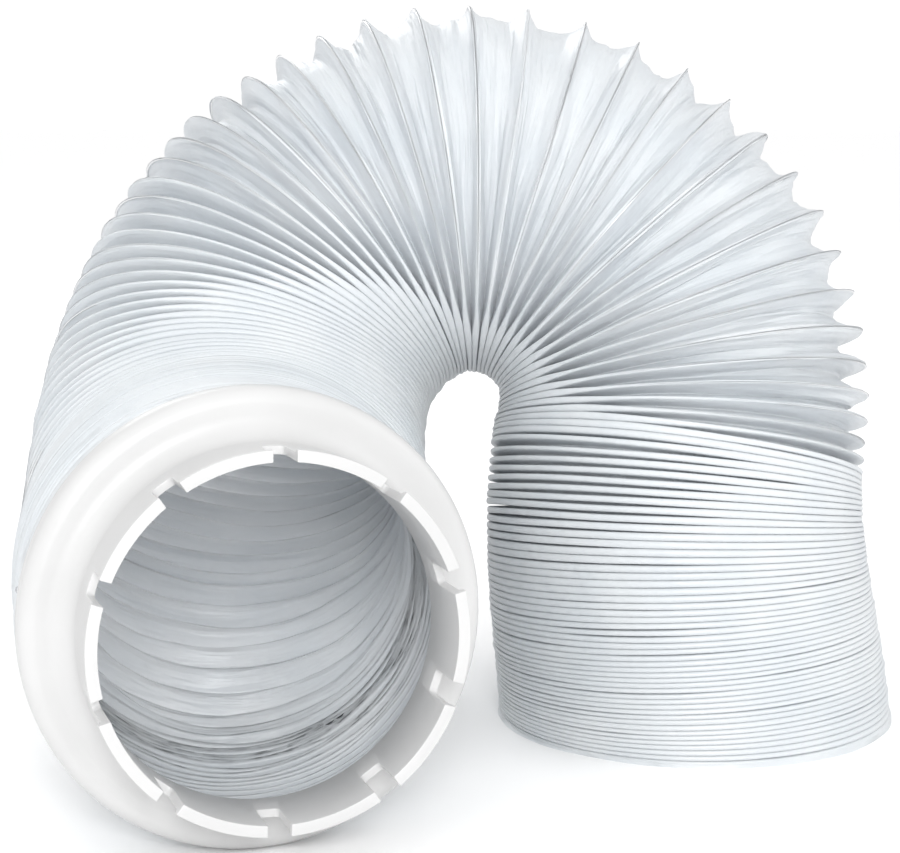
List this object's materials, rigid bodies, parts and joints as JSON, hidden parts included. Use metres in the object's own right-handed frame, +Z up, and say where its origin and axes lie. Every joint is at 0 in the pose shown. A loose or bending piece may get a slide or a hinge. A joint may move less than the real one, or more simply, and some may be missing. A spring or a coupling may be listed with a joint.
{
  "type": "dryer vent hose",
  "caption": "White pleated film duct on a sprung wire, stood in an arch, with a push-in collar on one end and a bare end on the floor.",
  "frame": {"origin": "centre of the part's box, on the floor it stands on", "axes": "+Z up, -Y towards the side that the collar opens to, +X towards the bare end's side of the arch"},
  "size_m": [0.2416, 0.24, 0.2021],
  "materials": {
    "film": "thin white film with a soft sheen",
    "wire": "spring steel, seen white through the film that wraps it",
    "collar": "white moulded plastic, slightly satin"
  },
  "bodies": {
    "root": {"film_sleeve": "film", "spring_wire": "wire", "collar": "collar"}
  },
  "joints": []
}
